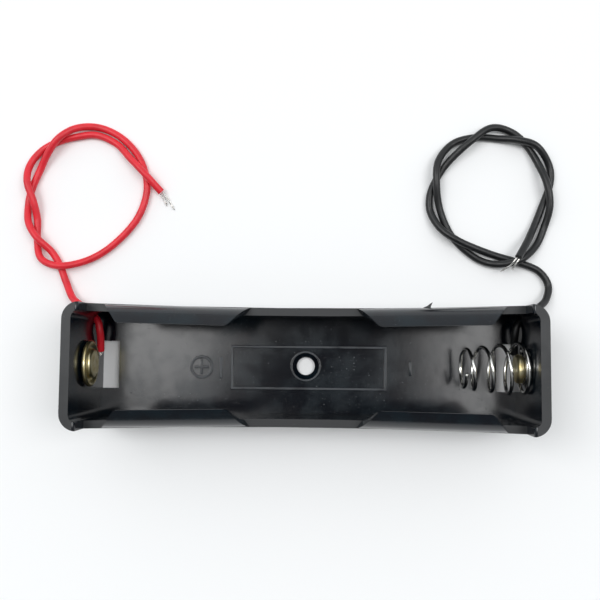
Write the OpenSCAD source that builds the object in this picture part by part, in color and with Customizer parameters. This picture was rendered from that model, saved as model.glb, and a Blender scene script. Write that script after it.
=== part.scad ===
// Holder for one cylindrical cell, with riveted end contacts and two wire leads.
// Millimetres. Origin at the bottom centre of the case, +Z up,
// +X towards the spring contact, +Y towards the side that the leads come out of.

/* [Case] */
// Length over the end walls
body_l = 77; // [70:0.5:84]
// Width over the corners
body_w = 20.6; // [19.6:0.1:23]
// Height of the end walls
body_h = 18.6; // [17.8:0.1:21]
// Thickness of the end walls
end_wall = 1.5; // [1.2:0.1:2]
// Thickness of the side walls and their flaps
side_wall = 1.3; // [1:0.1:1.6]
// Thickness of the floor
floor_t = 1.5; // [1:0.1:2.5]
// Radius of the upright outer corners
corner_r = 2.8; // [2.4:0.1:3.4]
// How far each side wall bows inwards at mid length
waist = 0.65; // [0.3:0.05:0.9]
// Half the length over which a side wall is bowed
bow_half = 36; // [34:0.5:38]

/* [Flaps] */
// Height at which the side walls stop and their flaps begin
cut_z = 14; // [13:0.1:14.5]
// Outer radius of the flap's curl
flap_r = 4.6; // [4.1:0.1:4.9]
// Step from each face of a side wall in to its flap
flap_step = 0.1; // [0.08:0.01:0.15]
// Distance that a flap reaches in over the cell
flap_reach = 3.2; // [2.6:0.1:3.4]
// Half the length of the finger gap, at the wall
finger_half = 8.6; // [7:0.1:11]
// How far a flap's end by the finger gap runs back from the wall to the lip
finger_slant = 2.3; // [1.4:0.1:3.2]
// Width of the slit between a flap and the corner, at the wall
slit_w = 2.9; // [2:0.1:3.6]
// How far a flap's end by the slit runs back from the wall to the lip
slit_slant = 2.1; // [1.2:0.1:2.8]
// Lean of both ends of a flap, from upright
flap_lean = 14; // [8:1:20]
// Radius of a flap's inner face: larger makes the lip thinner
flap_inner_r = 4.3; // [3.9:0.1:4.5]
// Radius of the lip's corners
lip_corner = 1; // [0.6:0.1:1.2]
// Distance from the end wall's outer face to the free edge of a corner
corner_return = 2.6; // [2.4:0.1:3]
// Radius on the top of that free edge
return_r = 0.5; // [0.3:0.1:0.8]

/* [Floor] */
// Length of the window in the floor under each contact
window_l = 3.3; // [2.6:0.1:4]
// Width of that window
window_w = 8.5; // [7:0.1:10]
// Diameter of the fixing screw's hole
screw_d = 3.2; // [2.8:0.1:3.5]
// Diameter of the countersink round the screw hole
sink_d = 4.8; // [4.4:0.1:5.4]
// Depth of the countersink
sink_depth = 0.8; // [0.5:0.1:0.9]
// Width of the raised lip round the countersink
sink_lip = 0.3; // [0.2:0.05:0.5]
// Height of the raised marks on the floor
mark_h = 0.2; // [0.1:0.05:0.3]
// Width of a raised line
mark_line = 0.4; // [0.3:0.05:0.6]
// Length of the raised frame on the floor
frame_l = 27.8; // [24:0.1:29]
// Width of the raised frame
frame_w = 7.8; // [7:0.1:9]
// Diameter of the ring round the plus sign
plus_ring_d = 4.1; // [3.6:0.1:5]
// Distance of the plus sign from the middle
plus_at = 18.7; // [17.5:0.1:22]
// Length of the strokes of the plus and minus signs
stroke_l = 2.5; // [1.8:0.1:2.8]
// Distance of the minus sign from the middle
minus_at = 18.6; // [17.5:0.1:22]

/* [Contacts] */
// Height of both contacts above the base
contact_z = 9.7; // [9.2:0.1:10.2]
// Diameter of both rivet shanks
shank_d = 2.8; // [2.4:0.1:3]
// Diametral clearance of a shank in its wall
shank_gap = 0.2; // [0.1:0.05:0.3]
// Diameter of a rivet's closed tail
tail_d = 4.2; // [3.8:0.1:4.6]
// Thickness of a rivet's closed tail
tail_t = 0.5; // [0.4:0.05:0.6]
// Diametral clearance of a tail in its counterbore
tail_gap = 0.4; // [0.2:0.1:0.6]
// Diameter of the positive rivet's flange
flange_d = 7.9; // [7:0.1:8.4]
// Thickness of that flange
flange_t = 0.5; // [0.4:0.05:0.6]
// Diameter of the boss that meets the cell
boss_d = 5; // [4.4:0.1:5.6]
// Height of the boss above its flange
boss_h = 0.7; // [0.5:0.1:1]
// Diameter of the negative rivet's head
head_d = 4.8; // [4.4:0.1:5]
// Thickness of that head
head_t = 1.1; // [0.8:0.1:1.3]

/* [Spring] */
// Diameter of the spring's wire
wire_d = 0.6; // [0.5:0.05:0.7]
// Mean radius of the widest turn, against the wall
base_r = 4.3; // [4:0.1:4.6]
// Mean radius of the turn that meets the cell
tip_r = 3; // [2.8:0.1:3.4]
// Advance of the open coils in one turn
spring_pitch = 2.9; // [2.4:0.1:3.1]
// Number of open turns
open_turns = 3.4; // [3.2:0.1:3.6]
// How far the lower side of the coils leans towards the cell
spring_lean = 0.6; // [0:0.1:0.8]

/* [Leads] */
// Diameter over the insulation
lead_d = 1.3; // [1.1:0.05:1.4]
// Diametral clearance of a lead in its hole
lead_gap = 0.4; // [0.3:0.05:0.6]
// Diameter of one strand of the conductor
strand_d = 0.2; // [0.16:0.02:0.24]
// Thickness of a loose bundle of strands at a lead's free end
bundle_d = 0.3; // [0.24:0.02:0.36]

/* [Hidden] */
$fn = 64;
eps = 0.01;

// Plan of the case
inner_x = body_l/2 - end_wall;
inner_corner_r = corner_r - 1.4;
bow_r = (bow_half*bow_half + waist*waist)/(2*waist);
bow_y = body_w/2 - waist + bow_r;
bow_fn = 720;

// Flaps
return_x = body_l/2 - corner_return;
slit_x = return_x - slit_w;
function wall_y(x) = bow_y - sqrt(bow_r*bow_r - x*x);
flap_turn = atan((wall_y(slit_x) - wall_y(finger_half))/(slit_x - finger_half));
flap_l = (slit_x - finger_half)/cos(flap_turn);
flap_root = 0.5;

// Marks on the floor
frame_at = [0.5, -0.3];
sign_y = -0.3;
nub_at = [-15.2, -0.35];
nub_size = [0.5, 3.7];

// Contacts: what is clamped under each rivet sets where its head lies
strand_x = inner_x - strand_d/2 - eps;
strand_room = strand_d + 2*eps;
strand_step = 1.6*strand_d;
spring_x = inner_x - strand_room - wire_d/2;
positive_y = 0.3;
shank_r = shank_d/2;
edge_r = 0.25;
boss_edge = 0.45;

// Spring: angles run from the upper side of the wall's turn towards the cell
hook_angle = -720;
spiral_angle = -540;
hook_r = shank_r + wire_d;
open_angle = 360*open_turns;
tip_angle = open_angle + 204;
spring_step = 12;
tip_x = spring_x - spring_pitch*open_turns;

// Holes for the leads, slanting out through two corners
exit_x = body_l/2 - 0.7;
exit_y = body_w/2 - 1.5;
exit_z = 5.2;
exit_turn = 40;
exit_dip = 25;
exit_inner = 1.9;
exit_outer = 2.5;

// Inner ends of the leads: distance from the end wall, then place across and height
lead_stand = 0.7;
lead_end = [2.44, 4.3];

// Torn flash on the shoulder of one side wall, from that wall's outer face
flash_x = 20.2;
flash = [[-0.7, -0.5], [0.5, -0.5], [0.45, 0.2], [0.75, 0.9], [0.3, 0.65], [-0.1, 0.3], [-0.7, 0.08]];
flash_t = 0.35;

// Routes of the leads along their centre lines, from the rivet to the free end
red_route = [
    [-36.3, 2.5, 4.3], [-36.1, 4.4, 5.2], [-36.1, 6.1, 6.0], [-36.6, 7.8, 5.9], [-39.0, 9.8, 4.5],
    [-41.0, 10.9, 3.0], [-42.7, 12.2, 1.6], [-44.2, 15.0, 0.65], [-45.4, 18.0, 0.65], [-47.0, 20.6, 1.0],
    [-49.3, 22.9, 2.1], [-51.2, 25.8, 1.6], [-51.7, 29.2, 0.65], [-51.1, 32.4, 0.65],
    [-49.8, 35.6, 0.65], [-48.2, 38.6, 1.4], [-46.0, 41.4, 2.1], [-43.0, 43.5, 1.4],
    [-39.2, 43.9, 0.65], [-35.2, 42.3, 0.65], [-31.9, 39.2, 0.65], [-30.0, 35.3, 0.65],
    [-29.7, 31.2, 0.65], [-31.5, 26.4, 0.65], [-35.7, 21.8, 0.65], [-40.2, 19.0, 0.9],
    [-45.0, 17.8, 2.1], [-48.7, 19.2, 1.4], [-49.8, 22.6, 0.65], [-49.9, 26.4, 0.65],
    [-50.4, 29.8, 1.7], [-51.5, 33.2, 2.1], [-51.5, 36.5, 1.2], [-49.6, 39.4, 0.65],
    [-46.4, 41.2, 0.65], [-43.0, 42.1, 0.65], [-39.2, 42.4, 0.65], [-35.4, 40.7, 0.65],
    [-32.8, 38.0, 1.4], [-29.8, 34.9, 2.1], [-26.9, 31.7, 0.8]];
black_route = [
    [36.3, 2.5, 4.3], [36.1, 4.4, 5.2], [36.1, 6.1, 6.0], [36.6, 7.8, 5.9], [39.0, 9.8, 4.5],
    [41.0, 10.8, 3.0], [42.6, 12.2, 1.6], [43.3, 14.8, 0.65], [41.6, 17.4, 0.65], [38.1, 18.9, 0.65],
    [34.4, 20.0, 0.65], [30.6, 21.2, 1.5], [27.0, 22.7, 2.1], [24.0, 25.0, 1.5],
    [22.3, 28.3, 0.65], [22.4, 31.6, 0.65], [23.9, 34.8, 0.65], [26.0, 37.6, 1.2],
    [29.8, 41.0, 2.1], [33.2, 43.3, 1.6], [36.8, 42.9, 0.65], [39.7, 40.4, 0.65],
    [41.7, 36.8, 1.1], [43.0, 32.8, 2.1], [43.5, 28.9, 1.7], [42.6, 25.0, 0.65],
    [41.0, 21.7, 0.9], [38.0, 19.2, 2.1], [34.2, 18.5, 1.4], [30.8, 19.5, 0.65],
    [27.4, 22.2, 0.65], [25.4, 25.0, 0.65], [23.9, 29.0, 1.0], [23.3, 33.2, 2.1],
    [23.7, 37.2, 1.8], [26.4, 40.6, 0.65], [30.4, 41.8, 0.65], [34.4, 41.6, 0.65],
    [38.0, 41.0, 1.8], [41.2, 39.8, 2.1], [43.6, 36.8, 0.9], [43.9, 33.4, 0.65],
    [42.2, 28.6, 0.65], [40.5, 24.6, 1.0], [39.0, 22.0, 2.4], [37.4, 19.5, 3.6]];
// Bare strands past each free end
red_tips = [
    [[-26.65, 31.75, 0.8], [-26.0, 30.8, 0.5], [-25.1, 29.5, 0.2], [-24.4, 28.3, 0.2]],
    [[-27.05, 31.4, 0.75], [-26.5, 30.5, 0.4], [-25.7, 29.0, 0.2]]];
black_tips = [
    [[37.55, 19.22, 3.6], [37.1, 18.6, 3.5], [36.7, 17.9, 3.1], [36.5, 17.4, 2.5]],
    [[37.15, 19.45, 3.5], [36.7, 18.9, 3.5], [36.1, 18.1, 3.1], [35.2, 17.5, 2.4], [34.7, 17.0, 1.6]]];

// Sweeps: a round bar along a list of points
function unit(v) = v/norm(v);
function heading(path, i) = unit(path[min(i + 1, len(path) - 1)] - path[max(i - 1, 0)]);
function ring(centre, along, r, sides, up) =
    let (side = unit(cross(along, up)), top = cross(side, along))
    [for (k = [0:sides - 1]) centre + r*(cos(360*k/sides)*side + sin(360*k/sides)*top)];

module bar(path, d, sides = 8, up = [0, 0, 1]) {
    last = len(path) - 1;
    points = [for (i = [0:last]) each ring(path[i], heading(path, i), d/2, sides, up)];
    start = [[for (k = [0:sides - 1]) k]];
    skin = [for (i = [0:last - 1], k = [0:sides - 1])
        [i*sides + k, (i + 1)*sides + k, (i + 1)*sides + (k + 1)%sides, i*sides + (k + 1)%sides]];
    end = [[for (k = [sides - 1:-1:0]) last*sides + k]];
    polyhedron(points, concat(start, skin, end), convexity = 10);
}

// Plan shapes of the case
module round_rect(l, w, r) {
    square([l - 2*r, w], center = true);
    square([l, w - 2*r], center = true);
    for (x = [-1, 1], y = [-1, 1])
        translate([x*(l/2 - r), y*(w/2 - r)]) circle(r);
}

module bowed_plan(l, w, r, wall) {
    difference() {
        round_rect(l, w, r);
        for (y = [-1, 1])
            translate([0, y*bow_y]) circle(bow_r + wall, $fn = bow_fn);
    }
}

// Side view of what is cut from above the side walls between the corners
module top_opening() {
    rise = body_h + 1 - cut_z;
    translate([-return_x, cut_z]) square([2*return_x, rise]);
    for (x = [-1, 1])
        translate([x*return_x, body_h - return_r])
            difference() {
                translate([x < 0 ? -return_r : 0, 0]) square([return_r, return_r + 1]);
                translate([x*return_r, 0]) circle(return_r);
            }
}

// Section of a flap: how far inwards from the wall's outer face, then height.
// Its curl runs on down into the wall as a root.
module flap_section() {
    intersection() {
        translate([-flap_reach, cut_z - flap_root]) square([flap_reach, flap_root + flap_r]);
        difference() {
            translate([-flap_r, cut_z]) circle(flap_r - flap_step);
            translate([flap_step - side_wall - flap_inner_r, cut_z]) circle(flap_inner_r);
        }
    }
}

// A corner at p, between the points a and b, as the points of an arc of radius r
function turned(a, p, b, r, steps = 4) =
    let (u = (a - p)/norm(a - p), v = (b - p)/norm(b - p), half = acos(u*v)/2,
         middle = (u + v)/norm(u + v), centre = p + middle*r/sin(half),
         from = p + u*r/tan(half) - centre, to = p + v*r/tan(half) - centre)
    [for (i = [0:steps]) let (t = i/steps, way = from*(1 - t) + to*t) centre + way*r/norm(way)];

// Plan of a flap by one of its ends: along the wall from that end, then across from its outer face
module end_plan(slant) {
    far = flap_l + 5;
    corner = turned([0, 0], [slant, -flap_reach], [far, -flap_reach], lip_corner);
    polygon(concat([[0, 1], [0, 0]], corner, [[far, -flap_reach], [far, 1]]));
}

module flap_end(slant) {
    rotate([0, flap_lean, 0]) translate([0, 0, -3]) linear_extrude(3 + 2*flap_r) end_plan(slant);
}

// The flap of one quarter: straight, along the chord of the bowed wall under it
module flap() {
    translate([finger_half, wall_y(finger_half), 0]) rotate([0, 0, flap_turn])
        intersection() {
            translate([-1, 0, 0]) rotate([90, 0, 90]) linear_extrude(flap_l + 2) flap_section();
            translate([0, 0, cut_z]) flap_end(finger_slant);
            translate([flap_l, 0, cut_z]) mirror([1, 0, 0]) flap_end(slit_slant);
        }
}

module floor_marks() {
    translate([frame_at[0], frame_at[1]])
        difference() {
            square([frame_l, frame_w], center = true);
            square([frame_l - 2*mark_line, frame_w - 2*mark_line], center = true);
        }
    circle(d = sink_d + 2*sink_lip);
    translate([-plus_at, sign_y]) {
        difference() {
            circle(d = plus_ring_d);
            circle(d = plus_ring_d - 2*mark_line);
        }
        square([stroke_l, mark_line], center = true);
        square([mark_line, stroke_l], center = true);
    }
    translate([minus_at, sign_y]) square([mark_line, stroke_l], center = true);
    translate(nub_at) square(nub_size, center = true);
}

// Hole for a rivet, along X, with a counterbore outside for the tail
module rivet_hole(side, y) {
    translate([side*inner_x, y, contact_z]) rotate([0, side*90, 0]) {
        translate([0, 0, -1]) cylinder(d = shank_d + shank_gap, h = end_wall + 2);
        translate([0, 0, end_wall - tail_t]) cylinder(d = tail_d + tail_gap, h = tail_t + 1);
    }
}

// Slanting hole for a lead, through the corner on the given side
module lead_hole(side) {
    translate([side*exit_x, exit_y, exit_z])
        rotate([0, 0, side < 0 ? 180 - exit_turn : exit_turn]) rotate([0, 90 + exit_dip, 0])
            translate([0, 0, -exit_inner]) cylinder(d = lead_d + lead_gap, h = exit_inner + exit_outer);
}

module case() {
    color([0.1, 0.1, 0.11]) {
        difference() {
            union() {
                difference() {
                    linear_extrude(body_h) bowed_plan(body_l, body_w, corner_r, 0);
                    translate([0, 0, floor_t]) linear_extrude(body_h)
                        bowed_plan(2*inner_x, body_w - 2*side_wall, inner_corner_r, side_wall);
                    translate([0, body_w, 0]) rotate([90, 0, 0]) linear_extrude(2*body_w) top_opening();
                }
                for (x = [0, 1], y = [0, 1])
                    mirror([x, 0, 0]) mirror([0, y, 0]) flap();
                translate([0, 0, floor_t - mark_h]) linear_extrude(2*mark_h) floor_marks();
                translate([flash_x, wall_y(flash_x), cut_z - flash_t])
                    linear_extrude(flash_t) polygon(flash);
            }
            for (x = [-1, 1])
                translate([x*(inner_x - window_l/2), 0, 0])
                    cube([window_l, window_w, 4*floor_t], center = true);
            translate([0, 0, -1]) cylinder(d = screw_d, h = floor_t + 2);
            translate([0, 0, floor_t - sink_depth])
                cylinder(d1 = screw_d, d2 = sink_d, h = sink_depth);
            translate([0, 0, floor_t]) cylinder(d = sink_d, h = 1);
            rivet_hole(-1, positive_y);
            rivet_hole(1, 0);
            lead_hole(-1);
            lead_hole(1);
        }
    }
}

// Half sections of the rivets: distance from the axis, then distance into the case
// from the wall's inner face, with the shank and the tail behind it
module shank_section(head_back) {
    translate([0, -end_wall]) square([shank_r, end_wall + head_back + eps]);
    translate([0, -end_wall]) square([tail_d/2, tail_t]);
}

module positive_rivet() {
    rim = flange_t/2;
    color([0.8, 0.68, 0.38])
        translate([-inner_x, positive_y, contact_z]) rotate([0, 90, 0]) rotate_extrude() {
            shank_section(strand_room);
            translate([0, strand_room]) {
                square([flange_d/2 - rim, flange_t]);
                translate([flange_d/2 - rim, rim]) circle(rim, $fn = 32);
                square([boss_d/2, flange_t + boss_h - boss_edge]);
                square([boss_d/2 - boss_edge, flange_t + boss_h]);
                translate([boss_d/2 - boss_edge, flange_t + boss_h - boss_edge])
                    circle(boss_edge, $fn = 32);
            }
        }
}

module negative_rivet() {
    under_head = strand_room + wire_d;
    color([0.8, 0.68, 0.38])
        translate([inner_x, 0, contact_z]) rotate([0, -90, 0]) rotate_extrude() {
            shank_section(under_head);
            translate([0, under_head]) {
                square([head_d/2, head_t - edge_r]);
                square([head_d/2 - edge_r, head_t]);
                translate([head_d/2 - edge_r, head_t - edge_r]) circle(edge_r, $fn = 32);
            }
        }
}

// The spring's centre line: a flat spiral on the wall, open coils that narrow, and a flat tip
function coil_r(a) =
    a < spiral_angle ? hook_r
    : a < 0 ? base_r + (base_r - hook_r)*a/-spiral_angle
    : base_r + (tip_r - base_r)*a/tip_angle;
function lean_at(a) = spring_lean*(1 - cos(a))/2*min(1, a/180)*min(1, max(0, (open_angle - a)/360));
function coil_x(a) = a < 0 ? spring_x : max(tip_x, spring_x - spring_pitch*a/360 - lean_at(a));
function coil_point(a) = [coil_x(a), coil_r(a)*sin(a), contact_z + coil_r(a)*cos(a)];

module contact_spring() {
    path = [for (a = [hook_angle:spring_step:tip_angle]) coil_point(a)];
    color([0.76, 0.77, 0.79]) bar(path, wire_d, 8, [1, 0, 0]);
}

module red_lead() {
    color([0.8, 0.1, 0.13]) bar(red_route, lead_d);
}

module black_lead() {
    color([0.09, 0.09, 0.1]) bar(black_route, lead_d);
}

// Strands from a lead's inner end, up the wall and round the shank of its rivet
module inner_strands(side, y) {
    for (k = [0:2]) {
        r = shank_r + strand_d + k*strand_step;
        x = side*(inner_x - lead_stand + (k - 1)*strand_step);
        rise = [
            [x, lead_end[0], lead_end[1]],
            [x, lead_end[0] - 0.27, lead_end[1] - 0.13],
            [side*(strand_x - 0.34 + 0.15*k), lead_end[0] - 0.94 + 0.27*k, lead_end[1] + 0.1 + 0.05*k],
            [side*strand_x, y + r + 0.15, lead_end[1] + 1.3],
            [side*strand_x, y + r, contact_z - 1.5]];
        wrap = [for (a = [0:30:150]) [side*strand_x, y + r*cos(a), contact_z + r*sin(a)]];
        bar(concat(rise, wrap), strand_d, 6, [1, 0, 0]);
    }
}

module red_inner_strands() {
    color([0.72, 0.73, 0.74]) inner_strands(-1, positive_y);
}

module black_inner_strands() {
    color([0.72, 0.73, 0.74]) inner_strands(1, 0);
}

module red_tip_strands() {
    color([0.72, 0.73, 0.74])
        for (path = red_tips) bar(path, bundle_d, 6);
}

module black_tip_strands() {
    color([0.72, 0.73, 0.74])
        for (path = black_tips) bar(path, bundle_d, 6);
}

case();
positive_rivet();
negative_rivet();
contact_spring();
red_lead();
black_lead();
red_inner_strands();
black_inner_strands();
red_tip_strands();
black_tip_strands();
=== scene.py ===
"""Looks of a holder for one cylindrical cell: moulded case, riveted contacts, spring and two leads.

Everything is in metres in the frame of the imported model; lengths are written in millimetres
and multiplied by MM.
"""

import math
import random

import bmesh
import bpy
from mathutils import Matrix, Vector


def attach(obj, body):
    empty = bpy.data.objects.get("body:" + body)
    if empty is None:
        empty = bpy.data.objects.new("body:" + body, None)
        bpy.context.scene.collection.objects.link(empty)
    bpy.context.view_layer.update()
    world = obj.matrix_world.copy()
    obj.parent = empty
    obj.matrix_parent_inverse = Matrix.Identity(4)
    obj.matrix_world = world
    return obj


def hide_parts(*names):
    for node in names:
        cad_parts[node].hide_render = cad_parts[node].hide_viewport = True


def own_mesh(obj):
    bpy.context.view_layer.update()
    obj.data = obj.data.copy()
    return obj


MM = 0.001

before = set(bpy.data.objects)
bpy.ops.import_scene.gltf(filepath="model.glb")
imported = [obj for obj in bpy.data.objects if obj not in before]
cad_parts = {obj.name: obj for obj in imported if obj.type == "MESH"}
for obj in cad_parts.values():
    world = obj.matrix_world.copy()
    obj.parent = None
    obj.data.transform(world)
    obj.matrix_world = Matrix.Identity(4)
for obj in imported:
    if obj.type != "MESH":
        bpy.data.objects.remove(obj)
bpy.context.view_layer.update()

# ---------------------------------------------------------------- sizes
# Case
BODY_L = 77.0
END_WALL = 1.5
CUT_Z = 14.0
INNER_X = BODY_L / 2 - END_WALL
EDGE = 0.14  # rounding of the moulded edges
MARK_EDGE = 0.06  # rounding of the marks and the countersink

# Contacts
CONTACT_Z = 9.7
POSITIVE_Y = 0.3
STRAND_D = 0.2
STRAND_ROOM = STRAND_D + 0.02
STRAND_X = INNER_X - STRAND_D / 2 - 0.01
STRAND_STEP = 1.6 * STRAND_D
SHANK_R = 1.4
TAIL_R = 2.1
TAIL_T = 0.5
FLANGE_R = 3.95
FLANGE_T = 0.5
BOSS_R = 2.5
BOSS_H = 0.7
HEAD_R = 2.4
HEAD_T = 1.1

# Spring
WIRE_D = 0.6
BASE_R = 4.3
TIP_R = 3.0
PITCH = 2.9
OPEN_TURNS = 3.4
LEAN = 0.6
SPRING_X = INNER_X - STRAND_ROOM - WIRE_D / 2
HOOK_R = SHANK_R + WIRE_D
HOOK_ANGLE = -720
SPIRAL_ANGLE = -540
OPEN_ANGLE = 360 * OPEN_TURNS
TIP_ANGLE = OPEN_ANGLE + 204
TIP_X = SPRING_X - PITCH * OPEN_TURNS

# Leads
LEAD_D = 1.3
LEAD_STAND = 0.7
LEAD_END = (2.44, 4.3)
RED_LENGTH = 149.0
BLACK_LENGTH = 167.5

# ---------------------------------------------------------------- routes of the leads
RED_ROUTE = [
    (-36.3, 2.5, 4.3), (-36.1, 4.4, 5.2), (-36.1, 6.1, 6.0), (-36.6, 7.8, 5.9), (-39.0, 9.8, 4.5),
    (-41.0, 10.9, 3.0), (-42.7, 12.2, 1.6), (-44.2, 15.0, 0.65), (-45.4, 18.0, 0.65), (-47.0, 20.6, 1.0),
    (-49.3, 22.9, 2.1), (-51.2, 25.8, 1.6), (-51.7, 29.2, 0.65), (-51.1, 32.4, 0.65),
    (-49.8, 35.6, 0.65), (-48.2, 38.6, 1.4), (-46.0, 41.4, 2.1), (-43.0, 43.5, 1.4),
    (-39.2, 43.9, 0.65), (-35.2, 42.3, 0.65), (-31.9, 39.2, 0.65), (-30.0, 35.3, 0.65),
    (-29.7, 31.2, 0.65), (-31.5, 26.4, 0.65), (-35.7, 21.8, 0.65), (-40.2, 19.0, 0.9),
    (-45.0, 17.8, 2.1), (-48.7, 19.2, 1.4), (-49.8, 22.6, 0.65), (-49.9, 26.4, 0.65),
    (-50.4, 29.8, 1.7), (-51.5, 33.2, 2.1), (-51.5, 36.5, 1.2), (-49.6, 39.4, 0.65),
    (-46.4, 41.2, 0.65), (-43.0, 42.1, 0.65), (-39.2, 42.4, 0.65), (-35.4, 40.7, 0.65),
    (-32.8, 38.0, 1.4), (-29.8, 34.9, 2.1), (-26.9, 31.7, 0.8),
]
BLACK_ROUTE = [
    (36.3, 2.5, 4.3), (36.1, 4.4, 5.2), (36.1, 6.1, 6.0), (36.6, 7.8, 5.9), (39.0, 9.8, 4.5),
    (41.0, 10.8, 3.0), (42.6, 12.2, 1.6), (43.3, 14.8, 0.65), (41.6, 17.4, 0.65), (38.1, 18.9, 0.65),
    (34.4, 20.0, 0.65), (30.6, 21.2, 1.5), (27.0, 22.7, 2.1), (24.0, 25.0, 1.5),
    (22.3, 28.3, 0.65), (22.4, 31.6, 0.65), (23.9, 34.8, 0.65), (26.0, 37.6, 1.2),
    (29.8, 41.0, 2.1), (33.2, 43.3, 1.6), (36.8, 42.9, 0.65), (39.7, 40.4, 0.65),
    (41.7, 36.8, 1.1), (43.0, 32.8, 2.1), (43.5, 28.9, 1.7), (42.6, 25.0, 0.65),
    (41.0, 21.7, 0.9), (38.0, 19.2, 2.1), (34.2, 18.5, 1.4), (30.8, 19.5, 0.65),
    (27.4, 22.2, 0.65), (25.4, 25.0, 0.65), (23.9, 29.0, 1.0), (23.3, 33.2, 2.1),
    (23.7, 37.2, 1.8), (26.4, 40.6, 0.65), (30.4, 41.8, 0.65), (34.4, 41.6, 0.65),
    (38.0, 41.0, 1.8), (41.2, 39.8, 2.1), (43.6, 36.8, 0.9), (43.9, 33.4, 0.65),
    (42.2, 28.6, 0.65), (40.5, 24.6, 1.0), (39.0, 22.0, 2.4), (37.4, 19.5, 3.6),
]
RED_TIPS = [
    [(-26.65, 31.75, 0.8), (-26.0, 30.8, 0.5), (-25.1, 29.5, 0.2), (-24.4, 28.3, 0.2)],
    [(-27.05, 31.4, 0.75), (-26.5, 30.5, 0.4), (-25.7, 29.0, 0.2)],
]
BLACK_TIPS = [
    [(37.55, 19.22, 3.6), (37.1, 18.6, 3.5), (36.7, 17.9, 3.1), (36.5, 17.4, 2.5)],
    [(37.15, 19.45, 3.5), (36.7, 18.9, 3.5), (36.1, 18.1, 3.1), (35.2, 17.5, 2.4), (34.7, 17.0, 1.6)],
]
RED_EXIT = RED_ROUTE[4]
BLACK_EXIT = BLACK_ROUTE[4]


# ---------------------------------------------------------------- node graphs
class Finish:
    """A material's node graph, built in the object's own coordinates."""

    def __init__(self, name):
        self.material = bpy.data.materials.new(name)
        self.material.use_nodes = True
        self.tree = self.material.node_tree
        self.tree.nodes.clear()
        output = self.tree.nodes.new("ShaderNodeOutputMaterial")
        self.shader = self.tree.nodes.new("ShaderNodeBsdfPrincipled")
        self.tree.links.new(self.shader.outputs["BSDF"], output.inputs["Surface"])
        self.place = self.tree.nodes.new("ShaderNodeTexCoord").outputs["Object"]

    def feed(self, socket, value):
        """Puts a number, a colour or another node's output into a socket."""
        if isinstance(value, bpy.types.NodeSocket):
            self.tree.links.new(value, socket)
        elif isinstance(value, (tuple, list)) and len(value) == 3 and len(socket.default_value) == 4:
            socket.default_value = (*value, 1.0)
        else:
            socket.default_value = value

    def set(self, **sockets):
        for name, value in sockets.items():
            self.feed(self.shader.inputs[name.replace("_", " ")], value)

    def stretched(self, scale):
        node = self.tree.nodes.new("ShaderNodeMapping")
        self.tree.links.new(self.place, node.inputs["Vector"])
        node.inputs["Scale"].default_value = scale
        return node.outputs["Vector"]

    def noise(self, scale, detail=2.0, rough=0.5, where=None):
        node = self.tree.nodes.new("ShaderNodeTexNoise")
        self.tree.links.new(where or self.place, node.inputs["Vector"])
        node.inputs["Scale"].default_value = scale
        node.inputs["Detail"].default_value = detail
        node.inputs["Roughness"].default_value = rough
        return node.outputs["Fac"]

    def cells(self, scale, where=None):
        node = self.tree.nodes.new("ShaderNodeTexVoronoi")
        self.tree.links.new(where or self.place, node.inputs["Vector"])
        node.inputs["Scale"].default_value = scale
        return node.outputs["Distance"], node.outputs["Color"]

    def parts(self, vector):
        node = self.tree.nodes.new("ShaderNodeSeparateXYZ")
        self.tree.links.new(vector, node.inputs[0])
        return node.outputs["X"], node.outputs["Y"], node.outputs["Z"]

    def normal(self):
        return self.tree.nodes.new("ShaderNodeNewGeometry").outputs["Normal"]

    def band(self, value, start, end, low=0.0, high=1.0):
        """low up to start, high from end on, smooth between."""
        node = self.tree.nodes.new("ShaderNodeMapRange")
        node.interpolation_type = "SMOOTHSTEP"
        self.feed(node.inputs["Value"], value)
        for name, number in (("From Min", start), ("From Max", end), ("To Min", low), ("To Max", high)):
            node.inputs[name].default_value = number
        return node.outputs["Result"]

    def math(self, kind, a, b=0.0):
        node = self.tree.nodes.new("ShaderNodeMath")
        node.operation = kind
        self.feed(node.inputs[0], a)
        self.feed(node.inputs[1], b)
        return node.outputs["Value"]

    def mix(self, factor, a, b):
        node = self.tree.nodes.new("ShaderNodeMix")
        node.data_type = "RGBA"
        self.feed(node.inputs["Factor"], factor)
        self.feed(node.inputs["A"], a)
        self.feed(node.inputs["B"], b)
        return node.outputs["Result"]

    def bump(self, height, distance, strength=1.0, under=None):
        node = self.tree.nodes.new("ShaderNodeBump")
        node.inputs["Strength"].default_value = strength
        node.inputs["Distance"].default_value = distance
        self.feed(node.inputs["Height"], height)
        if under is not None:
            self.feed(node.inputs["Normal"], under)
        return node.outputs["Normal"]


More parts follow.
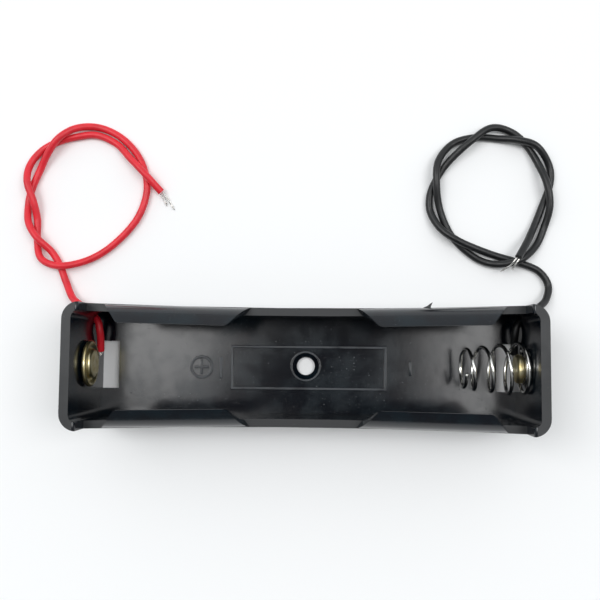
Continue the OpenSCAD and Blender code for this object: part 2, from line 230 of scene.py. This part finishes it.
def case_finish():
    """Black injection-moulded plastic: glossy in the bay and on the flaps, duller on its rims."""
    f = Finish("black_case")
    _, _, z = f.parts(f.place)
    _, _, up = f.parts(f.normal())
    # Flat shoulders and rims come off a duller face of the tool than the bay and the flaps
    high = f.band(z, 13.7 * MM, 13.9 * MM)
    flat = f.band(up, 0.96, 0.995)
    rim = f.math("MULTIPLY", high, flat)
    # Raised marks on the floor of the bay, with a painted highlight: their tops painted paler, patchy by
    # noise
    raised = f.math("MULTIPLY", f.band(z, 1.56 * MM, 1.6 * MM), f.band(z, 1.9 * MM, 2.0 * MM, 1.0, 0.0))
    raised = f.math("MULTIPLY", raised, f.band(up, 0.3, 0.6))
    mark_highlight = f.math("MULTIPLY", raised, f.band(f.noise(260, 2), 0.35, 0.65, 0.35, 1.0))
    # Dust, lying on what faces up
    facing = f.band(up, 0.55, 0.9)
    distance, seed = f.cells(1500)
    some, _, _ = f.parts(seed)
    speck = f.math("MULTIPLY", f.band(distance, 0.05, 0.16, 1.0, 0.0), f.band(some, 0.9, 0.92))
    distance, seed = f.cells(4200)
    some, _, _ = f.parts(seed)
    fine = f.math("MULTIPLY", f.band(distance, 0.1, 0.25, 0.6, 0.0), f.band(some, 0.9, 0.92))
    patches = f.band(f.noise(160, 3), 0.42, 0.62, 0.25, 1.0)
    dust = f.math("MULTIPLY", f.math("MAXIMUM", speck, fine), f.math("MULTIPLY", facing, patches))
    # Faint cloudy film and fine scratches
    film = f.band(f.noise(220, 4, 0.6), 0.35, 0.75)
    lines = f.noise(900, 1, 0.4, f.stretched((0.12, 2.2, 1.0)))
    scratch = f.band(f.math("ABSOLUTE", f.math("SUBTRACT", lines, 0.5)), 0.0, 0.012, 1.0, 0.0)
    scratch = f.math("MULTIPLY", scratch, f.band(f.noise(300, 2), 0.55, 0.62))
    base = f.mix(film, (0.0010, 0.0018, 0.0048), (0.0020, 0.0080, 0.0130))
    base = f.mix(rim, base, (0.0125, 0.0140, 0.0160))
    # Painted highlight: the raised marks in lighter grey
    base = f.mix(mark_highlight, base, (0.045, 0.052, 0.060))
    base = f.mix(f.math("MULTIPLY", scratch, 0.2), base, (0.05, 0.055, 0.06))
    base = f.mix(f.math("MULTIPLY", dust, 0.6), base, (0.13, 0.14, 0.145))
    gloss = f.math("ADD", f.band(film, 0.0, 1.0, 0.16, 0.22), f.math("MULTIPLY", rim, 0.3))
    gloss = f.math("ADD", gloss, f.math("MULTIPLY", mark_highlight, 0.3))
    gloss = f.math("ADD", gloss, f.math("MULTIPLY", dust, 0.4))
    grain = f.noise(5200, 3, 0.6)
    waves = f.noise(420, 2, 0.5)
    normal = f.bump(waves, 0.02 * MM, 0.5)
    normal = f.bump(grain, 0.004 * MM, 0.5, normal)
    normal = f.bump(dust, 0.03 * MM, 0.6, normal)
    f.set(Base_Color=base, Roughness=gloss, Normal=normal, IOR=1.5)
    return f.material


def brass_finish():
    """Pressed brass, browner in random patches of tarnish."""
    f = Finish("rivet_brass")
    tarnish = f.band(f.noise(900, 4, 0.6), 0.35, 0.7)
    base = f.mix(tarnish, (0.88, 0.80, 0.52), (0.70, 0.57, 0.26))
    turned = f.noise(5200, 2, 0.5, f.stretched((1.6, 0.6, 0.6)))
    rough = f.band(tarnish, 0.0, 1.0, 0.3, 0.42)
    normal = f.bump(turned, 0.008 * MM, 0.4)
    normal = f.bump(f.noise(1200, 2), 0.015 * MM, 0.4, normal)
    f.set(Base_Color=base, Roughness=rough, Normal=normal, Metallic=1.0)
    return f.material


def nickel_finish():
    """Bright plated spring wire with fine lines left by the drawing die."""
    f = Finish("spring_nickel")
    stain = f.band(f.noise(700, 3), 0.5, 0.78)
    base = f.mix(stain, (0.80, 0.79, 0.77), (0.58, 0.55, 0.50))
    rough = f.band(f.noise(2600, 2), 0.3, 0.7, 0.13, 0.26)
    normal = f.bump(f.noise(6000, 2), 0.006 * MM, 0.5)
    f.set(Base_Color=base, Roughness=rough, Normal=normal, Metallic=1.0)
    return f.material


def copper_finish():
    """Tinned copper strands."""
    f = Finish("tinned_copper")
    base = f.mix(f.band(f.noise(1800, 2), 0.45, 0.7), (0.74, 0.73, 0.71), (0.60, 0.56, 0.52))
    rough = f.band(f.noise(3000, 2), 0.3, 0.7, 0.22, 0.38)
    f.set(Base_Color=base, Roughness=rough, Metallic=1.0)
    return f.material


def sleeve_finish(name, colour, worn, gloss):
    """Soft PVC insulation with an extruded, slightly uneven skin."""
    f = Finish(name)
    base = f.mix(f.band(f.noise(500, 3), 0.4, 0.75), colour, worn)
    rough = f.band(f.noise(1600, 3), 0.3, 0.7, gloss, gloss + 0.12)
    normal = f.bump(f.noise(700, 2), 0.03 * MM, 0.5)
    normal = f.bump(f.noise(6000, 2), 0.005 * MM, 0.5, normal)
    f.set(Base_Color=base, Roughness=rough, Normal=normal, IOR=1.5)
    return f.material


# ---------------------------------------------------------------- building blocks
def add(name, data):
    piece = bpy.data.objects.new(name, data)
    bpy.context.scene.collection.objects.link(piece)
    return piece


def dress(piece, material):
    piece.data.materials.clear()
    piece.data.materials.append(material)
    return piece


def along(points, steps, lowest=None):
    """A smooth line through the points (Catmull-Rom), in metres, kept above its lowest height."""
    points = [Vector(p) * MM for p in points]
    ends = [points[0] * 2 - points[1], *points, points[-1] * 2 - points[-2]]
    line = []
    for a, b, c, d in zip(ends, ends[1:], ends[2:], ends[3:]):
        for k in range(steps):
            t = k / steps
            line.append(
                0.5 * (2 * b + (c - a) * t + (2 * a - 5 * b + 4 * c - d) * t * t
                       + (3 * b - a - 3 * c + d) * t ** 3)
            )
    line.append(points[-1])
    if lowest is not None:
        for p in line:
            p.z = max(p.z, lowest * MM)
    return line


def tube_curve(name, line, diameter):
    """A cord as a curve of one open spline."""
    curve = bpy.data.curves.new(name, "CURVE")
    curve.dimensions = "3D"
    curve.bevel_depth = diameter / 2 * MM
    curve.bevel_resolution = 6
    curve.use_fill_caps = True
    spline = curve.splines.new("POLY")
    spline.points.add(len(line) - 1)
    for point, p in zip(spline.points, line):
        point.co = (*p, 1.0)
    spline.use_smooth = True
    return add(name, curve)


def tube_rings(bm, line, radii, sides, first_side=None):
    """Adds a round bar along a line, with its own radius at each point, closed at both ends."""
    side = first_side
    rings = []
    for i, p in enumerate(line):
        ahead = line[min(i + 1, len(line) - 1)] - line[max(i - 1, 0)]
        ahead.normalize()
        if side is None:
            side = ahead.orthogonal()
        side = side - ahead * side.dot(ahead)
        side.normalize()
        other = ahead.cross(side)
        turns = [2 * math.pi * k / sides for k in range(sides)]
        rings.append([bm.verts.new(p + radii[i] * (side * math.cos(a) + other * math.sin(a)))
                      for a in turns])
    for low, top in zip(rings, rings[1:]):
        for k in range(sides):
            n = (k + 1) % sides
            bm.faces.new((low[k], low[n], top[n], top[k])).smooth = True
    bm.faces.new(list(reversed(rings[0])))
    bm.faces.new(rings[-1])


def mesh_piece(name, bm):
    mesh = bpy.data.meshes.new(name)
    bmesh.ops.recalc_face_normals(bm, faces=bm.faces)
    bm.to_mesh(mesh)
    bm.free()
    return add(name, mesh)


def lathe(name, profile, origin, direction, sides=96):
    """Turns a closed profile of (radius, distance along the axis) round the X axis."""
    bm = bmesh.new()
    rings = []
    for radius, distance in profile:
        ring = []
        for k in range(sides):
            a = 2 * math.pi * k / sides
            ring.append(bm.verts.new((
                (origin[0] + direction * distance) * MM,
                (origin[1] + radius * math.cos(a)) * MM,
                (origin[2] + radius * math.sin(a)) * MM,
            )))
        rings.append(ring)
    for low, top in zip(rings, rings[1:]):
        for k in range(sides):
            n = (k + 1) % sides
            bm.faces.new((low[k], low[n], top[n], top[k])).smooth = True
    bm.faces.new(rings[0])
    bm.faces.new(rings[-1])
    piece = mesh_piece(name, bm)
    piece.data.set_sharp_from_angle(angle=math.radians(50))
    return piece


def arc(centre, radius, start, end, steps):
    """Points of a profile's arc, angles in degrees from the radial direction."""
    points = []
    for k in range(steps + 1):
        a = math.radians(start + (end - start) * k / steps)
        points.append((centre[0] + radius * math.cos(a), centre[1] + radius * math.sin(a)))
    return points


# ---------------------------------------------------------------- camera, floor and light
LENS = 45.62
SENSOR = 36
FLOOR_GLOW = 0.03  # strength of the floor's own white, for the camera and mirror-like surfaces
FLOOR_HALF = 2.0  # metres
FLOOR_DROP = 0.02  # below the object's lowest point


def camera():
    data = bpy.data.cameras.new("camera")
    data.lens = LENS
    data.sensor_width = SENSOR
    viewer = add("camera", data)
    viewer.location = Vector((4.3264, 2.3262, 138.0057)) * MM
    viewer.rotation_euler = (0.0701, 0.0393, 0.0089)
    bpy.context.scene.camera = viewer


def seen_only(tree):
    """1 for the camera, for mirror-like surfaces and through glass, otherwise 0."""
    nodes, links = tree.nodes, tree.links
    path = nodes.new("ShaderNodeLightPath")
    either = nodes.new("ShaderNodeMath")
    either.operation = "MAXIMUM"
    links.new(path.outputs["Is Camera Ray"], either.inputs[0])
    both = nodes.new("ShaderNodeMath")
    both.operation = "MAXIMUM"
    links.new(path.outputs["Is Glossy Ray"], either.inputs[1])
    links.new(either.outputs["Value"], both.inputs[0])
    links.new(path.outputs["Is Transmission Ray"], both.inputs[1])
    return both.outputs["Value"]


def floor_plane():
    material = bpy.data.materials.new("floor_white")
    material.use_nodes = True
    tree = material.node_tree
    tree.nodes.clear()
    output = tree.nodes.new("ShaderNodeOutputMaterial")
    card = tree.nodes.new("ShaderNodeBsdfDiffuse")
    card.inputs["Color"].default_value = (0.90, 0.905, 0.91, 1.0)
    glow = tree.nodes.new("ShaderNodeEmission")
    glow.inputs["Color"].default_value = (1.0, 1.0, 1.0, 1.0)
    level = tree.nodes.new("ShaderNodeMath")
    level.operation = "MULTIPLY"
    level.inputs[1].default_value = FLOOR_GLOW
    both = tree.nodes.new("ShaderNodeAddShader")
    tree.links.new(seen_only(tree), level.inputs[0])
    tree.links.new(level.outputs["Value"], glow.inputs["Strength"])
    tree.links.new(card.outputs[0], both.inputs[0])
    tree.links.new(glow.outputs[0], both.inputs[1])
    tree.links.new(both.outputs[0], output.inputs["Surface"])
    mesh = bpy.data.meshes.new("floor")
    half = FLOOR_HALF
    depth = -FLOOR_DROP * MM
    corners = [(-half, -half, depth), (half, -half, depth), (half, half, depth), (-half, half, depth)]
    mesh.from_pydata(corners, [], [(0, 1, 2, 3)])
    plane = add("floor", mesh)
    mesh.materials.append(material)


def softbox(name, place, aim, size, power):
    data = bpy.data.lights.new(name, "AREA")
    data.shape = "RECTANGLE"
    data.size, data.size_y = size
    data.energy = power
    lamp = add(name, data)
    lamp.location = place
    lamp.rotation_euler = (Vector(aim) - Vector(place)).to_track_quat("-Z", "Y").to_euler()
    return lamp


def room_light():
    world = bpy.data.worlds.new("room")
    bpy.context.scene.world = world
    world.use_nodes = True
    tree = world.node_tree
    tree.nodes.clear()
    output = tree.nodes.new("ShaderNodeOutputWorld")
    soft = tree.nodes.new("ShaderNodeBackground")
    white = tree.nodes.new("ShaderNodeBackground")
    white.inputs["Strength"].default_value = 1.0
    path = tree.nodes.new("ShaderNodeLightPath")
    pick = tree.nodes.new("ShaderNodeMixShader")
    # Dark straight above, where the camera is held, and dimmer on the photographer's side
    place = tree.nodes.new("ShaderNodeTexCoord")
    parts = tree.nodes.new("ShaderNodeSeparateXYZ")
    tree.links.new(place.outputs["Generated"], parts.inputs[0])
    above = tree.nodes.new("ShaderNodeMapRange")
    above.inputs["From Min"].default_value = 0.88
    above.inputs["From Max"].default_value = 0.955
    above.inputs["To Min"].default_value = 0.85
    above.inputs["To Max"].default_value = 0.06
    tree.links.new(parts.outputs["Z"], above.inputs["Value"])
    near = tree.nodes.new("ShaderNodeMapRange")
    near.inputs["From Min"].default_value = -0.6
    near.inputs["From Max"].default_value = 0.4
    near.inputs["To Min"].default_value = 0.25
    near.inputs["To Max"].default_value = 1.0
    tree.links.new(parts.outputs["Y"], near.inputs["Value"])
    soft.inputs["Color"].default_value = (0.95, 0.985, 1.0, 1.0)
    level = tree.nodes.new("ShaderNodeMath")
    level.operation = "MULTIPLY"
    tree.links.new(above.outputs["Result"], level.inputs[0])
    tree.links.new(near.outputs["Result"], level.inputs[1])
    tree.links.new(level.outputs["Value"], soft.inputs["Strength"])
    tree.links.new(path.outputs["Is Camera Ray"], pick.inputs["Fac"])
    tree.links.new(soft.outputs[0], pick.inputs[1])
    tree.links.new(white.outputs[0], pick.inputs[2])
    tree.links.new(pick.outputs[0], output.inputs["Surface"])
    softbox("key", (-0.40, 0.16, 0.90), (0, 0, 0), (0.35, 0.6), 3.8)
    softbox("fill", (0.42, 0.06, 0.90), (0, 0, 0), (0.35, 0.6), 3.4)


# ---------------------------------------------------------------- the leads
def strand_bundle(name, paths, count, spread, thickness):
    """Bare strands that leave the sleeve as a bundle and part a little towards their tips."""
    dice = random.Random(len(name) * 7 + count)
    bm = bmesh.new()
    for path in paths:
        centre = along(path, 6)
        for k in range(count):
            turn = 2 * math.pi * k / count
            reach = 1.0 - 0.18 * dice.random()
            used = centre[: max(4, round(len(centre) * reach))]
            line = []
            for i, p in enumerate(used):
                share = i / (len(centre) - 1)
                gap = (0.5 * thickness + spread * share * share * (0.4 + dice.random() * 0.2)) * MM
                angle = turn + 2.6 * share
                ahead = centre[min(i + 1, len(centre) - 1)] - centre[max(i - 1, 0)]
                ahead.normalize()
                side = ahead.cross(Vector((0, 0, 1))).normalized()
                up = side.cross(ahead)
                q = p + gap * (side * math.cos(angle) + up * math.sin(angle))
                q.z = max(q.z, 0.5 * thickness * MM)
                line.append(q)
            tube_rings(bm, line, [0.5 * thickness * MM] * len(line), 8)
    return mesh_piece(name, bm)


def inner_strands(name, side, y):
    """Strands from the lead's inner end, up the wall and round the shank of the rivet."""
    bm = bmesh.new()
    for k in range(3):
        r = SHANK_R + STRAND_D + k * STRAND_STEP
        x = side * (INNER_X - LEAD_STAND + (k - 1) * STRAND_STEP)
        across, height = LEAD_END
        path = [
            (x, across, height),
            (x, across - 0.27, height - 0.13),
            (side * (STRAND_X - 0.34 + 0.15 * k), across - 0.94 + 0.27 * k, height + 0.1 + 0.05 * k),
            (side * STRAND_X, y + r + 0.15, height + 1.3),
            (side * STRAND_X, y + r, CONTACT_Z - 1.5),
        ]
        for a in range(0, 151, 30):
            turn = math.radians(a)
            path.append((side * STRAND_X, y + r * math.cos(turn), CONTACT_Z + r * math.sin(turn)))
        line = along(path, 6)
        tube_rings(bm, line, [STRAND_D / 2 * MM] * len(line), 10)
    return mesh_piece(name, bm)


def leads():
    copper = copper_finish()
    finishes = {
        "red": sleeve_finish("red_insulation", (0.73, 0.017, 0.032), (0.62, 0.012, 0.024), 0.36),
        "black": sleeve_finish("black_insulation", (0.0042, 0.0046, 0.0055), (0.0075, 0.008, 0.009), 0.34),
    }
    for colour, route, tips, exit_point, length, side, y in (
        ("red", RED_ROUTE, RED_TIPS, RED_EXIT, RED_LENGTH, -1, POSITIVE_Y),
        ("black", BLACK_ROUTE, BLACK_TIPS, BLACK_EXIT, BLACK_LENGTH, 1, 0.0),
    ):
        lead = tube_curve(f"{colour}_sleeve", along(route, 8, LEAD_D / 2), LEAD_D)
        dress(lead, finishes[colour])
        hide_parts(f"{colour}_lead")
        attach(lead, "case")
        tip = strand_bundle(f"{colour}_tip", tips, 3, 0.14, 0.16)
        dress(tip, copper)
        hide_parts(f"{colour}_tip_strands")
        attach(tip, "case")
        inner = inner_strands(f"{colour}_inner", side, y)
        dress(inner, copper)
        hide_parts(f"{colour}_inner_strands")
        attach(inner, "case")


# ---------------------------------------------------------------- the case
def sharp_corner(edge):
    return len(edge.link_faces) == 2 and edge.calc_face_angle() > math.radians(35)


def on_floor(edge):
    """Low edges inside the bay: the marks and the countersink."""
    inside = all(abs(v.co.y) < 8.0 * MM and abs(v.co.x) < 30.0 * MM for v in edge.verts)
    return inside and all(v.co.z < 2.0 * MM for v in edge.verts)


def on_ledge(edge):
    """The step where a flap leaves the top of its wall."""
    near = 0.02 * MM
    return all(abs(v.co.z - CUT_Z * MM) < near for v in edge.verts)


def case_shell():
    """The case's own solid with its moulded edges rounded."""
    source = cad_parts["case"].data
    mesh = bpy.data.meshes.new("case_shell")
    mesh.from_pydata([v.co for v in source.vertices], [], [list(p.vertices) for p in source.polygons])
    bm = bmesh.new()
    bm.from_mesh(mesh)
    bmesh.ops.remove_doubles(bm, verts=bm.verts, dist=0.002 * MM)
    bmesh.ops.dissolve_limit(bm, angle_limit=math.radians(0.5), verts=bm.verts, edges=bm.edges)
    for small, offset in ((False, EDGE), (True, MARK_EDGE)):
        chosen = [e for e in bm.edges if sharp_corner(e) and on_floor(e) == small and not on_ledge(e)]
        bmesh.ops.bevel(bm, geom=chosen, offset=offset * MM, segments=2, profile=0.5,
                        affect="EDGES", clamp_overlap=True)
    for face in bm.faces:
        face.smooth = True
    bm.to_mesh(mesh)
    bm.free()
    shell = add("case_shell", mesh)
    mesh.set_sharp_from_angle(angle=math.radians(35))
    even = shell.modifiers.new("even", "WEIGHTED_NORMAL")
    even.keep_sharp = True
    dress(shell, case_finish())
    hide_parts("case")
    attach(shell, "case")


# ---------------------------------------------------------------- the contacts
def rivets():
    brass = brass_finish()
    back = [(0.0, -END_WALL + 0.12), (0.7, -END_WALL + 0.1)]
    back += arc((TAIL_R - 0.22, -END_WALL + 0.22), 0.22, -90, 0, 6)
    back += [(TAIL_R, -END_WALL + TAIL_T), (SHANK_R, -END_WALL + TAIL_T)]
    rim = FLANGE_T / 2 + 0.12
    front = STRAND_ROOM
    face = front + FLANGE_T
    top = face + BOSS_H
    profile = list(back)
    profile += [(SHANK_R, front), (FLANGE_R - rim, front)]
    profile += arc((FLANGE_R - rim, front + rim), rim, -90, 110, 14)
    profile += [(FLANGE_R - 2.2 * rim, face - 0.2), (BOSS_R + 0.18, face - 0.26)]
    profile += arc((BOSS_R + 0.16, face - 0.12), 0.14, 250, 180, 4)
    profile += arc((BOSS_R - 0.45, top - 0.5), 0.45, 0, 80, 8)
    profile += [(1.4, top - 0.03), (0.7, top), (0.0, top)]
    origin = (-INNER_X, POSITIVE_Y, CONTACT_Z)
    positive = lathe("positive_contact", profile, origin, 1)
    dress(positive, brass)
    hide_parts("positive_rivet")
    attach(positive, "case")

    under = STRAND_ROOM + WIRE_D
    profile = list(back)
    profile += [(SHANK_R, under), (HEAD_R - 0.2, under)]
    profile += arc((HEAD_R - 0.2, under + 0.2), 0.2, -90, 0, 6)
    profile += arc((HEAD_R - 0.5, under + HEAD_T - 0.5), 0.5, 0, 80, 10)
    profile += [(HEAD_R - 0.9, under + HEAD_T), (0.9, under + HEAD_T - 0.03), (0.0, under + HEAD_T - 0.06)]
    negative = lathe("negative_contact", profile, (INNER_X, 0, CONTACT_Z), -1)
    dress(negative, brass)
    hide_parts("negative_rivet")
    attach(negative, "case")


def coil_r(a):
    if a < SPIRAL_ANGLE:
        return HOOK_R
    if a < 0:
        return BASE_R - (BASE_R - HOOK_R) * a / SPIRAL_ANGLE
    return BASE_R + (TIP_R - BASE_R) * a / TIP_ANGLE


def coil_x(a):
    if a < 0:
        return SPRING_X
    lean = LEAN * (1 - math.cos(math.radians(a))) / 2 * min(1, a / 180)
    lean *= min(1, max(0, (OPEN_ANGLE - a) / 360))
    return max(TIP_X, SPRING_X - PITCH * a / 360 - lean)


def spring():
    """The wire along the same centre line as in the solid, with more sides and a finer step."""
    line = []
    step = 5
    for i in range(int((TIP_ANGLE - HOOK_ANGLE) / step) + 1):
        a = HOOK_ANGLE + i * step
        turn = math.radians(a)
        line.append(Vector((coil_x(a), coil_r(a) * math.sin(turn),
                            CONTACT_Z + coil_r(a) * math.cos(turn))) * MM)
    bm = bmesh.new()
    tube_rings(bm, line, [WIRE_D / 2 * MM] * len(line), 20, Vector((1, 0, 0)))
    wire = mesh_piece("spring_wire", bm)
    dress(wire, nickel_finish())
    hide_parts("contact_spring")
    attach(wire, "case")
    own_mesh(wire)


camera()
floor_plane()
room_light()
leads()
case_shell()
rivets()
spring()

bpy.context.scene.view_settings.view_transform = "Standard"
